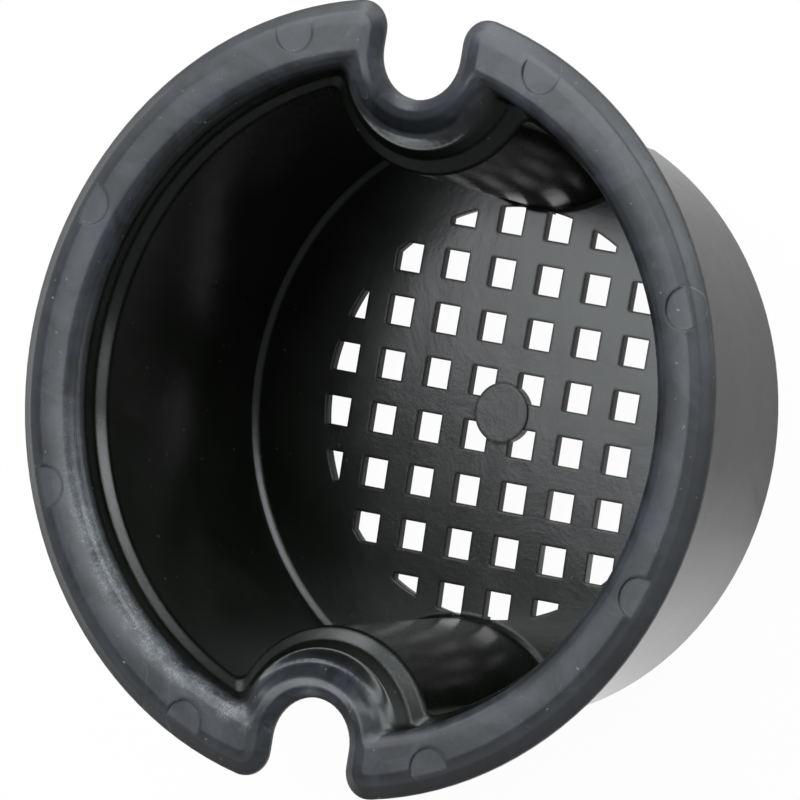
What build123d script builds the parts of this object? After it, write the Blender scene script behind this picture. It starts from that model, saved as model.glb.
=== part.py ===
"""Floor drain strainer: a moulded basket with a notched flange and a square-holed floor.

Millimetres. The origin is the centre of the resting ring under the floor, +Z runs up the
basket's axis to the open top, and the two notches lie on the +Y and -Y sides.
"""

import math
import os

from build123d import *

# Flange, seen from above
rim_radius = 75.0
notch_radius = 8.6
notch_setback = 9.7  # from the rim inward to the centre of a notch's round end
lobe_radius = 5.2  # rounds the flange where a notch opens through the rim
rim_band = 9.5  # width of the flat from the rim to the start of the mouth's rounding
notch_band = 2.2  # the same from a notch

# Flange, in section
height = 56.5
flange_thickness = 2.6
crown_radius = 6.5  # the top of the flange falls outward on this arc
crown_run = 4.5  # how far in from the rim the arc reaches
mouth_angles = (87, 65, 43, 21, 0)  # degrees at which the rounding has a section
mouth_rounding = 2.9  # radius on which the flange turns down into the wall
notch_rounding = 8.6  # the wider radius on which it turns down beside a notch
notch_fall = 54.0  # degrees, where the wider rounding ends in a straight slope

# Wall: a steep lip under the flange, a sloping ledge, then the drafted wall
wall_thickness = 2.3
lip_depth = 5.5
lip_draft = 3.0
ledge_depth = 3.0
ledge_turns = (0, 0.25, 0.75, 1)  # levels of the ledge's soft S, as shares of its depth
wall_ledge = 2.0  # how far the ledge steps inward above the wall
groove_ledge = 3.2  # how far it steps above a groove
wall_draft = 5.3
groove_draft = 4.2
inner_corner = 2.0  # where the wall turns into a groove
outer_corner = 1.3
neck_chamfer = 0.8

# Floor
floor_thickness = 1.8
dome_rise = 2.2
foot_chamfer = 0.9
ring_width = 3.0  # flat resting ring, from the inside of the wall's foot inward
rib_ring = 0.8  # the same round a rib, which stands close to the holes
base_chamfer = 0.6
hole_pitch = 10.42
hole_side = 5.45
holes_across = 8
hole_field_radius = 39.3  # the grid of holes is cut off by this circle
pad_radius = 5.75
pad_rise = 0.2

# Ejector marks on the flange
mark_radius = 4.0
mark_depth = 0.25
mark_count = 8

# Derived positions
notch_centre = rim_radius - notch_setback
underside_z = height - flange_thickness
lip_z = height - lip_depth
ledge_z = lip_z - ledge_depth
mark_ring_radius = rim_radius - mark_radius

# Derived radii of the cavity, and of the round ribs that the grooves raise in it
flat_radius = rim_radius - rim_band
flat_rib = notch_radius + notch_band
lip_radius = flat_radius - mouth_rounding - lip_depth * math.tan(math.radians(lip_draft))
ledge_radius = lip_radius - wall_ledge


def arc_run(radius, drop):
    """How far an arc runs sideways from its level start until it has fallen by a drop."""
    return math.sqrt(radius**2 - (radius - drop) ** 2)


def notch_run(drop):
    """The same for the wide rounding beside a notch, which ends in a straight slope."""
    slope = math.radians(notch_fall)
    turned = notch_rounding * (1 - math.cos(slope))
    return arc_run(notch_rounding, min(drop, turned)) + max(drop - turned, 0) / math.tan(slope)


lip_rib = flat_rib + notch_run(lip_depth)
ledge_rib = lip_rib + groove_ledge


def cavity_radius(level):
    """Radius of the drafted wall's inside at a level."""
    return ledge_radius - (ledge_z - level) * math.tan(math.radians(wall_draft))


def rib_radius(level):
    """Radius of a groove's rib at a level, on the inside."""
    return ledge_rib + (ledge_z - level) * math.tan(math.radians(groove_draft))


def bitten_disc(level, disc, bite, corner):
    """A disc with a round bite on +Y and on -Y, its corners rounded."""
    with BuildSketch(Plane.XY.offset(level)) as outline:
        Circle(disc)
        with Locations((0, notch_centre), (0, -notch_centre)):
            Circle(bite, mode=Mode.SUBTRACT)
        fillet(outline.vertices().filter_by(lambda v: abs(v.Y) > 1), corner)
    return outline.sketch


def wall_sections(levels, turns, outset, corner):
    """Sections of the drafted wall at some levels and up through its ledge, grown by an outset."""
    sections = []
    for level in levels:
        disc = cavity_radius(level) + outset
        bite = rib_radius(level) - outset
        sections.append(bitten_disc(level, disc, bite, corner))
    for turn in reversed(turns):
        inset = turn**2 * (3 - 2 * turn)
        disc = lip_radius - wall_ledge * inset + outset
        bite = lip_rib + groove_ledge * inset - outset
        sections.append(bitten_disc(lip_z - ledge_depth * turn, disc, bite, corner))
    return sections


def mouth_sections():
    """Sections of the mouth's rounding, from the lip up to the flat of the flange."""
    sections = []
    for angle in mouth_angles:
        drop = mouth_rounding * (1 - math.cos(math.radians(angle)))
        disc = flat_radius - arc_run(mouth_rounding, drop)
        sections.append(bitten_disc(height - drop, disc, flat_rib + notch_run(drop), inner_corner))
    return sections


def flange_outline(level, outset):
    """The flange's outline grown outward all round by an outset."""
    reach = rim_radius + outset
    slot = notch_radius - outset
    length = reach - notch_centre + 1
    with BuildSketch(Plane.XY.offset(level)) as outline:
        Circle(reach)
        with Locations((0, notch_centre), (0, -notch_centre)):
            Circle(slot, mode=Mode.SUBTRACT)
        middle = notch_centre + length / 2
        with Locations((0, middle), (0, -middle)):
            Rectangle(2 * slot, length, mode=Mode.SUBTRACT)
        tips = outline.vertices().filter_by(lambda v: abs(v.Y) > notch_centre + 1)
        fillet(tips, lobe_radius + outset)
    return outline.sketch


def crown_sections():
    """Sections of the flange's crown, from the rim up to the flat."""
    sections = []
    for run in (crown_run, crown_run / 2, 0):
        drop = crown_radius - math.sqrt(crown_radius**2 - run**2)
        sections.append(flange_outline(height - drop, run - crown_run))
    return sections


def dome(top_at_foot, foot_radius):
    """A solid under the floor's spherical surface, for cutting the cavity and the recess."""
    sphere_radius = (foot_radius**2 + dome_rise**2) / (2 * dome_rise)
    reach = rim_radius
    edge_z = top_at_foot + dome_rise - sphere_radius + math.sqrt(sphere_radius**2 - reach**2)
    with BuildPart(mode=Mode.PRIVATE) as lens:
        with BuildSketch(Plane.XZ):
            with BuildLine():
                RadiusArc((0, top_at_foot + dome_rise), (reach, edge_z), sphere_radius)
                Line((reach, edge_z), (reach, -10))
                Line((reach, -10), (0, -10))
                Line((0, -10), (0, top_at_foot + dome_rise))
            make_face()
        revolve(axis=Axis.Z)
    return lens.part


foot_radius = cavity_radius(floor_thickness)
floor_top = dome(floor_thickness, foot_radius)
floor_bottom = dome(0, foot_radius)

# Cavity, down to the floor's surface
with BuildPart() as cavity:
    wall = wall_sections((floor_thickness / 2, floor_thickness + dome_rise), ledge_turns, 0, inner_corner)
    loft(wall + mouth_sections(), ruled=True)
    add(floor_top, mode=Mode.SUBTRACT)

# Outside of the wall, up into the flange
neck_z = underside_z + flange_thickness / 2
neck_disc = lip_radius + (neck_z - lip_z) * math.tan(math.radians(lip_draft)) + wall_thickness
neck_bite = flat_rib + notch_run(height - neck_z) - wall_thickness
neck = bitten_disc(neck_z, neck_disc, neck_bite, outer_corner)
with BuildPart() as outside:
    loft(wall_sections((0,), (0, 1), wall_thickness, outer_corner) + [neck], ruled=True)

# Recess under the floor, so the domed floor keeps one thickness
with BuildPart() as recess:
    with BuildSketch(Plane.XY.offset(-1)):
        Circle(foot_radius - ring_width)
        with Locations((0, notch_centre), (0, -notch_centre)):
            Circle(rib_radius(0) + rib_ring, mode=Mode.SUBTRACT)
    extrude(amount=dome_rise + 2)
    add(floor_bottom, mode=Mode.INTERSECT)

# Flange: a plate whose top falls outward on an arc and ends at a short skirt
with BuildPart() as flange:
    loft([flange_outline(underside_z, 0)] + crown_sections(), ruled=True)

with BuildPart() as strainer:
    add(outside.part)
    add(flange.part)
    add(cavity.part, mode=Mode.SUBTRACT)
    add(recess.part, mode=Mode.SUBTRACT)

    # Break the foot, the neck and the bottom edge
    dome_face = strainer.faces().filter_by(GeomType.SPHERE).sort_by(Axis.Z)[-1]
    chamfer(dome_face.outer_wire().edges(), foot_chamfer)
    flat = strainer.faces().filter_by(GeomType.PLANE)
    underside = flat.filter_by(lambda f: abs(f.center().Z - underside_z) < 0.01)[0]
    chamfer(underside.inner_wires()[0].edges(), neck_chamfer)
    ring = strainer.faces().filter_by(GeomType.PLANE).sort_by(Axis.Z)[0]
    chamfer(ring.outer_wire().edges(), base_chamfer)

    # Central pad
    with BuildSketch(Plane.XY.offset(floor_thickness + dome_rise + pad_rise)):
        Circle(pad_radius)
    extrude(amount=-(pad_rise + floor_thickness / 2))

    # Grid of square holes, cut off by a circle and kept clear of the pad
    with BuildSketch(Plane.XY.offset(-1)):
        with GridLocations(hole_pitch, hole_pitch, holes_across, holes_across):
            Rectangle(hole_side, hole_side)
        Circle(hole_field_radius, mode=Mode.INTERSECT)
        Circle(pad_radius, mode=Mode.SUBTRACT)
    extrude(amount=floor_thickness + dome_rise + 2, mode=Mode.SUBTRACT)

    # Ejector marks: shallow flat-bottomed rounds in the crown
    with BuildSketch(Plane.XY.offset(height - mark_depth)):
        with PolarLocations(mark_ring_radius, mark_count, start_angle=180 / mark_count):
            Circle(mark_radius)
    extrude(amount=mark_depth + 1, mode=Mode.SUBTRACT)

strainer.part.label = "strainer_basket"
os.makedirs("parts", exist_ok=True)
export_step(strainer.part, "parts/strainer_basket.step")
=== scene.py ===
import math

import bpy
from mathutils import Matrix, Vector


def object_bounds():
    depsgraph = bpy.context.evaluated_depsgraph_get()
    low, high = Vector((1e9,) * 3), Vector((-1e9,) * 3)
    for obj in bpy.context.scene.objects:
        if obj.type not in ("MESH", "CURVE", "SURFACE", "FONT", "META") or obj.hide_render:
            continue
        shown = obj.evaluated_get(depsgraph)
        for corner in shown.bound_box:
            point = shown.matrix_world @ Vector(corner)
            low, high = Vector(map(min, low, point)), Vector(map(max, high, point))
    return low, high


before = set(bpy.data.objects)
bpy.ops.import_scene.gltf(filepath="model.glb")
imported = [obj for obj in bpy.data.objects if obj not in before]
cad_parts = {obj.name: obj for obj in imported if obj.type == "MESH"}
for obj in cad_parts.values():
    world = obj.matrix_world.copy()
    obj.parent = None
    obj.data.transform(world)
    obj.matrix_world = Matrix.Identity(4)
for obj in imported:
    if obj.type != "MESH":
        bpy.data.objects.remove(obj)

cad_low, cad_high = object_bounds()

# Camera: the photograph's own, worked out from the hole grid, the rim and the foot of the wall
CAMERA_AZIMUTH = 93.87
CAMERA_ELEVATION = 59.31
CAMERA_ROLL = 84.14  # degrees clockwise, so the notches come out above and below
CAMERA_DISTANCE = 3.013
CAMERA_AIM = Vector((-0.0053, 0.0001, 0.0332))
CAMERA_LENS = 720.0
SENSOR_WIDTH = 36.0
CLIP_START, CLIP_END = 0.1, 50.0

# The object's own sizes, in metres
TOP = cad_high.z
UNDERSIDE = TOP - 0.0026
CROWN_RADIUS = 0.0705  # the flange falls outward beyond this
MARK_RING = 0.071
MARK_RADIUS = 0.004
MARK_COUNT = 8
EDGE_EASE = 0.0008  # how softly moulded edges turn

# The flange's flat is gently arched across, in its relief only
ARCH_RADIUS = 0.0695  # highest here
ARCH_INNER, ARCH_OUTER = 18.0, 10.0  # how strongly on either side, per metre
ARCH_CLEAR = (0.048, 0.062)  # distance from the X axis over which it dies out at a notch

# The band round the mouth, partly rubbed and partly a painted highlight: radii over which it
# starts and ends
RUB_AND_HIGHLIGHT_START = (0.0618, 0.0634)
RUB_AND_HIGHLIGHT_END = (0.0650, 0.0676)
RUB_AND_HIGHLIGHT_SIDE = (0.040, 0.065)  # distance towards the lower left over which it sets in
RUB_AND_HIGHLIGHT_LEAST = 0.02  # its share on the sides with little rubbing or highlight

# The plastic's colours, linear
DEEP = ((0.0020, 0.0029, 0.0016), (0.0042, 0.0052, 0.0036))
BLOOM = ((0.013, 0.014, 0.0155), (0.030, 0.034, 0.041))
# The next grey is a painted highlight on the flange's falling outer edge
EDGE_HIGHLIGHT_GREY = (0.048, 0.049, 0.051)
MARK_GREY = (0.045, 0.048, 0.054)
# The next grey paints the mouth's band pale: rubbed plastic and a painted highlight
RUBBED_AND_HIGHLIT_GREY = (0.115, 0.12, 0.125)
SCRATCH_GREY = (0.36, 0.37, 0.38)
HAIR_GREY = (0.22, 0.23, 0.24)
GRIT_GREY = (0.28, 0.29, 0.29)

# Roughness of the inside, and what each kind of place adds to it
ROUGHNESS = 0.17
CLOUD_ROUGHNESS = 0.10
FLANGE_ROUGHNESS = 0.09
SCUFF_ROUGHNESS = 0.15
RIB_ROUGHNESS = 0.05
OUTSIDE_ROUGHNESS = -0.06
IOR = 1.46
POLISH_IOR, POLISH_ROUGHNESS = 1.75, 0.10

# Floor, and how white it is to camera and glossy rays
FLOOR_SIZE = 12.0
FLOOR_DROP = 0.0002
FLOOR_GREY = (0.85, 0.85, 0.85)
FLOOR_WHITE = 0.97
SHADE_RADIUS = (0.050, 0.064)  # the basket's shade ends over these radii
SHADE_SIDE = (-0.040, 0.010)  # it is deeper on the -X side of these
SHADE_DEEP, SHADE_EASED = 0.72, 0.34

# Studio
WORLD_GREY = (0.27, 0.28, 0.29)
WHITE = (1.0, 1.0, 1.0)
LAMP_COLOUR = (0.93, 0.97, 1.0)
LAMP_DISTANCE = 1.2
LAMPS = (
    # name, azimuth, elevation, width, height, watts
    ("upper_bank", 54, 34, 1.40, 0.40, 11.5),
    ("side_strip", 2, 25, 0.34, 0.16, 1.0),
    ("back_bank", 128, 37, 0.95, 0.65, 10.5),
    ("overhead", 150, 67, 0.72, 0.5, 5.8),
)


class Graph:
    """Short ways to add nodes to one node tree."""

    def __init__(self, tree):
        self.nodes, self.links = tree.nodes, tree.links

    def add(self, kind, **values):
        node = self.nodes.new(kind)
        for name, value in values.items():
            setattr(node, name, value)
        return node

    def feed(self, socket, value):
        """Links a socket, or sets a number or a colour."""
        if isinstance(value, bpy.types.NodeSocket):
            self.links.new(value, socket)
        elif isinstance(value, tuple):
            socket.default_value = (*value, 1)
        elif value is not None:
            socket.default_value = value

    def math(self, operation, first, second=None, clamp=False):
        node = self.add("ShaderNodeMath", operation=operation, use_clamp=clamp)
        self.feed(node.inputs[0], first)
        self.feed(node.inputs[1], second)
        return node.outputs[0]

    def times(self, *factors):
        product = factors[0]
        for factor in factors[1:]:
            product = self.math("MULTIPLY", product, factor)
        return product

    def plus(self, first, second, clamp=False):
        return self.math("ADD", first, second, clamp)

    def minus(self, first, second):
        return self.math("SUBTRACT", first, second)

    def size(self, source):
        return self.math("ABSOLUTE", source)

    def inverse(self, source):
        return self.minus(1.0, source)

    def step(self, source, low, high):
        """Goes smoothly from 0 at low to 1 at high."""
        node = self.add("ShaderNodeMapRange", interpolation_type="SMOOTHSTEP")
        self.feed(node.inputs["Value"], source)
        self.feed(node.inputs["From Min"], low)
        self.feed(node.inputs["From Max"], high)
        return node.outputs["Result"]

    def place(self):
        return self.add("ShaderNodeTexCoord").outputs["Object"]

    def split(self, vector):
        node = self.add("ShaderNodeSeparateXYZ")
        self.feed(node.inputs[0], vector)
        return node.outputs

    def vector(self, *parts):
        node = self.add("ShaderNodeCombineXYZ")
        for socket, part in zip(node.inputs, parts):
            self.feed(socket, part)
        return node.outputs[0]

    def noise(self, vector, scale, detail, roughness, distortion=0.0):
        node = self.add("ShaderNodeTexNoise")
        self.feed(node.inputs["Vector"], vector)
        self.feed(node.inputs["Scale"], scale)
        self.feed(node.inputs["Detail"], detail)
        self.feed(node.inputs["Roughness"], roughness)
        self.feed(node.inputs["Distortion"], distortion)
        return node.outputs["Fac"]

    def lines(self, field, narrow, wide):
        """Thin lines where a noise crosses its middle value."""
        return self.inverse(self.step(self.size(self.minus(field, 0.5)), narrow, wide))

    def mix(self, factor, first, second):
        node = self.add("ShaderNodeMix", data_type="RGBA")
        for name, value in (("Factor", factor), ("A", first), ("B", second)):
            self.feed([s for s in node.inputs if s.name == name and s.enabled][0], value)
        return [s for s in node.outputs if s.enabled][0]

    def bump(self, height, strength, distance, normal):
        node = self.add("ShaderNodeBump")
        self.feed(node.inputs["Height"], height)
        self.feed(node.inputs["Strength"], strength)
        self.feed(node.inputs["Distance"], distance)
        self.feed(node.inputs["Normal"], normal)
        return node.outputs["Normal"]


def mark_discs(graph, angle, radius):
    """1 inside the eight round ejector marks on the flange."""
    pitch = math.tau / MARK_COUNT
    turned = graph.minus(angle, pitch / 2)
    nearest = graph.times(graph.math("ROUND", graph.times(turned, 1 / pitch)), pitch)
    offset = graph.minus(turned, nearest)
    across = graph.times(radius, graph.math("SINE", offset))
    along = graph.minus(graph.times(radius, graph.math("COSINE", offset)), MARK_RING)
    square = graph.plus(graph.times(across, across), graph.times(along, along))
    distance = graph.math("SQRT", square)
    return graph.inverse(graph.step(distance, MARK_RADIUS * 0.97, MARK_RADIUS * 1.03))


def facing_out(graph, x, y, radius):
    """1 where the surface faces away from the basket's axis."""
    facing = graph.add("ShaderNodeVectorMath", operation="DOT_PRODUCT")
    graph.feed(facing.inputs[0], graph.add("ShaderNodeNewGeometry").outputs["Normal"])
    graph.feed(facing.inputs[1], graph.vector(x, y, 0.0))
    return graph.step(graph.math("DIVIDE", facing.outputs["Value"], radius), 0.3, 0.6)


def rubbed_and_highlit_band(graph, place, x, y, radius):
    """Patches of a band round the mouth where the -X and -Y sides meet: rubbed, and a painted
    highlight.
    """
    corner = graph.minus(graph.times(x, -0.6), graph.times(y, 0.8))
    side = graph.plus(graph.times(graph.step(corner, *RUB_AND_HIGHLIGHT_SIDE), 0.95), RUB_AND_HIGHLIGHT_LEAST)
    band = graph.times(
        graph.step(radius, *RUB_AND_HIGHLIGHT_START), graph.inverse(graph.step(radius, *RUB_AND_HIGHLIGHT_END))
    )
    patches = graph.step(graph.noise(place, 150.0, 4.0, 0.65), 0.36, 0.60)
    return graph.times(side, band, patches)


def crossed_scratches(graph, place, angle, radius, z):
    """Fine scratches, some crossing each other and some running round the mouth."""
    crossed = graph.lines(graph.noise(place, 620.0, 3.0, 0.65, 2.6), 0.006, 0.030)
    around = graph.vector(
        graph.times(angle, 140.0), graph.times(radius, 130.0), graph.times(z, 130.0)
    )
    fibres = graph.step(graph.noise(around, 1.7, 6.0, 0.75, 0.25), 0.58, 0.66)
    return graph.plus(graph.times(crossed, 0.8), graph.times(fibres, 0.5), clamp=True)


def hairlines(graph, place, flange):
    """Long thin scratches, broken up, most of them on the flange."""
    return graph.times(
        graph.lines(graph.noise(place, 60.0, 2.0, 0.5, 2.2), 0.0008, 0.0030),
        graph.step(graph.noise(place, 75.0, 3.0, 0.6), 0.56, 0.64),
        graph.plus(graph.times(flange, 0.9), 0.1),
    )


def flange_arch(graph, y, radius, flange):
    """Height in metres by which the flange's flat falls away from its highest ring."""
    along = graph.minus(radius, ARCH_RADIUS)
    clear = graph.inverse(graph.step(graph.size(y), *ARCH_CLEAR))
    inward = graph.math("LESS_THAN", along, 0.0)
    steepness = graph.plus(graph.times(inward, ARCH_INNER - ARCH_OUTER), ARCH_OUTER)
    return graph.times(along, along, graph.times(steepness, -1.0), clear, flange)


def moulded_plastic():
    """Satin black polypropylene; bloomed, scuffed flange with painted highlights; glossier
    outside.
    """
    material = bpy.data.materials.new("black_polypropylene")
    material.use_nodes = True
    graph = Graph(material.node_tree)
    shader = graph.nodes["Principled BSDF"]

    # Polar coordinates round the basket's axis
    place = graph.place()
    x, y, z = graph.split(place)
    angle = graph.math("ARCTAN2", y, x)
    square = graph.plus(graph.times(x, x), graph.times(y, y))
    radius = graph.math("SQRT", square)

    # Where things are: the flange, its falling edge, the marks, the outside, the ribs
    flange = graph.step(z, TOP - 0.0040, TOP - 0.0008)
    edge_highlight = graph.times(graph.step(radius, CROWN_RADIUS - 0.0008, CROWN_RADIUS + 0.0022), flange)
    marks = graph.times(mark_discs(graph, angle, radius), flange)
    below = graph.inverse(graph.step(z, UNDERSIDE - 0.0004, UNDERSIDE))
    outside = graph.times(facing_out(graph, x, y, radius), below)
    ribs = graph.times(graph.step(graph.size(y), 0.032, 0.040), graph.inverse(flange))

    # Colour: nearly black, cloudy; a bluish bloom on the flange; a painted highlight on its edge
    clouds = graph.noise(place, 55.0, 5.0, 0.6, 0.4)
    bloom = graph.noise(place, 85.0, 7.0, 0.62, 1.1)
    deep = graph.mix(graph.step(clouds, 0.35, 0.65), *DEEP)
    worn = graph.mix(graph.step(bloom, 0.36, 0.64), *BLOOM)
    # Painted highlight: the flange's rounded outer edge is made lighter than its flat
    worn = graph.mix(graph.times(edge_highlight, 0.55), worn, EDGE_HIGHLIGHT_GREY)
    worn = graph.mix(graph.times(marks, 0.12), worn, MARK_GREY)
    colour = graph.mix(flange, deep, worn)

    # Wear and painted highlight: the rubbed, highlit band under fine scratches, hairlines and pale
    # specks of grit
    rubbed_and_highlit = graph.times(rubbed_and_highlit_band(graph, place, x, y, radius), flange)
    scuffs = graph.times(crossed_scratches(graph, place, angle, radius, z), rubbed_and_highlit)
    hairs = hairlines(graph, place, flange)
    specks = graph.step(graph.noise(place, 800.0, 2.0, 0.5), 0.725, 0.765)
    specks = graph.times(specks, graph.plus(graph.times(flange, 0.35), 0.10))
    # Painted highlight with real rubbing: the band round the mouth is made pale where its rounding
    # catches the light
    colour = graph.mix(graph.times(rubbed_and_highlit, 0.45), colour, RUBBED_AND_HIGHLIT_GREY)
    colour = graph.mix(graph.times(scuffs, 0.75), colour, SCRATCH_GREY)
    colour = graph.mix(graph.times(hairs, 0.35), colour, HAIR_GREY)
    colour = graph.mix(specks, colour, GRIT_GREY)
    graph.feed(shader.inputs["Base Color"], colour)

    # Gloss: satin, duller where worn, glossier outside
    gloss = graph.plus(graph.times(clouds, CLOUD_ROUGHNESS), ROUGHNESS)
    gloss = graph.plus(gloss, graph.times(flange, FLANGE_ROUGHNESS))
    gloss = graph.plus(gloss, graph.times(scuffs, SCUFF_ROUGHNESS))
    gloss = graph.plus(gloss, graph.times(outside, OUTSIDE_ROUGHNESS))
    gloss = graph.plus(gloss, graph.times(ribs, RIB_ROUGHNESS))
    graph.feed(shader.inputs["Roughness"], gloss)
    shader.inputs["IOR"].default_value = IOR
    polish = graph.times(outside, graph.step(graph.times(y, -1.0), -0.004, 0.036))
    graph.feed(shader.inputs["Coat Weight"], polish)
    shader.inputs["Coat Roughness"].default_value = POLISH_ROUGHNESS
    shader.inputs["Coat IOR"].default_value = POLISH_IOR

    # Relief: every edge eased as a moulding's is, then arch, ripple, marks, grain and scuffs
    eased = graph.add("ShaderNodeBevel", samples=4)
    eased.inputs["Radius"].default_value = EDGE_EASE
    normal = graph.bump(flange_arch(graph, y, radius, flange), 1.0, 1.0, eased.outputs["Normal"])
    normal = graph.bump(clouds, 0.20, 0.0006, normal)
    normal = graph.bump(marks, 0.25, 0.00012, normal)
    grain = graph.noise(place, 1500.0, 3.0, 0.6)
    fine = graph.plus(grain, graph.times(graph.plus(scuffs, hairs), 0.9))
    normal = graph.bump(fine, 0.12, 0.00008, normal)
    graph.feed(shader.inputs["Normal"], normal)
    return material


def seen_ray(graph):
    """1 for rays that show the background; a glossy ray sees it dimmer in the basket's shade."""
    path = graph.add("ShaderNodeLightPath").outputs
    place = graph.place()
    length = graph.add("ShaderNodeVectorMath", operation="LENGTH")
    graph.feed(length.inputs[0], place)
    under = graph.inverse(graph.step(length.outputs["Value"], *SHADE_RADIUS))
    eased = graph.times(graph.step(graph.split(place)[0], *SHADE_SIDE), SHADE_EASED)
    lit = graph.inverse(graph.times(under, graph.minus(SHADE_DEEP, eased)))
    seen = graph.plus(path["Is Camera Ray"], graph.times(path["Is Glossy Ray"], lit))
    return graph.plus(seen, path["Is Transmission Ray"], clamp=True)


def pale_floor():
    """White floor that keeps a faint shadow."""
    material = bpy.data.materials.new("pale_floor")
    material.use_nodes = True
    graph = Graph(material.node_tree)
    shader = graph.nodes["Principled BSDF"]
    graph.feed(shader.inputs["Base Color"], FLOOR_GREY)
    shader.inputs["Roughness"].default_value = 0.9
    shader.inputs["Specular IOR Level"].default_value = 0.0
    white = graph.add("ShaderNodeEmission")
    blend = graph.add("ShaderNodeMixShader")
    graph.feed(blend.inputs[0], graph.times(seen_ray(graph), FLOOR_WHITE))
    graph.feed(blend.inputs[1], shader.outputs[0])
    graph.feed(blend.inputs[2], white.outputs[0])
    graph.feed(graph.nodes["Material Output"].inputs["Surface"], blend.outputs[0])
    return material


def direction_to(azimuth, elevation):
    """Unit vector at an azimuth, which runs from +X towards +Y, and an elevation."""
    a, e = math.radians(azimuth), math.radians(elevation)
    return Vector((math.cos(a) * math.cos(e), math.sin(a) * math.cos(e), math.sin(e)))


def soft_box(name, azimuth, elevation, width, height, watts):
    """A rectangular area lamp aimed at the object."""
    data = bpy.data.lights.new(name, "AREA")
    data.shape = "RECTANGLE"
    data.size, data.size_y, data.energy = width, height, watts
    data.color = LAMP_COLOUR
    lamp = bpy.data.objects.new(name, data)
    bpy.context.collection.objects.link(lamp)
    direction = direction_to(azimuth, elevation)
    lamp.location = direction * LAMP_DISTANCE
    lamp.rotation_mode = "QUATERNION"
    lamp.rotation_quaternion = direction.to_track_quat("Z", "Y")


# The strainer keeps its CAD shape and gets the plastic
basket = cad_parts["strainer_basket"]
basket.data.materials.clear()
basket.data.materials.append(moulded_plastic())

# Floor
bpy.ops.mesh.primitive_plane_add(size=FLOOR_SIZE, location=(0, 0, -FLOOR_DROP))
floor = bpy.context.object
floor.name = "floor"
floor.data.materials.append(pale_floor())

# World: white to the camera, a soft grey studio to everything else
world = bpy.data.worlds.new("studio")
bpy.context.scene.world = world
world.use_nodes = True
sky = Graph(world.node_tree)
camera_ray = sky.add("ShaderNodeLightPath").outputs["Is Camera Ray"]
sky.feed(sky.nodes["Background"].inputs["Color"], sky.mix(camera_ray, WORLD_GREY, WHITE))

for lamp_sizes in LAMPS:
    soft_box(*lamp_sizes)

# Camera
azimuth, elevation = math.radians(CAMERA_AZIMUTH), math.radians(CAMERA_ELEVATION)
level_x, level_y = math.sin(azimuth) * math.cos(elevation), math.cos(azimuth) * math.cos(elevation)
back = Vector((level_x, -level_y, math.sin(elevation)))
camera_data = bpy.data.cameras.new("camera")
camera_data.lens = CAMERA_LENS
camera_data.sensor_width = SENSOR_WIDTH
camera_data.clip_start, camera_data.clip_end = CLIP_START, CLIP_END
camera = bpy.data.objects.new("camera", camera_data)
bpy.context.collection.objects.link(camera)
camera.rotation_mode = "QUATERNION"
upright = (-back).to_track_quat("-Z", "Y")
roll = Matrix.Rotation(-math.radians(CAMERA_ROLL), 4, back).to_quaternion()
camera.rotation_quaternion = roll @ upright
camera.location = CAMERA_AIM + back * CAMERA_DISTANCE
bpy.context.scene.camera = camera

bpy.context.scene.view_settings.view_transform = "Standard"
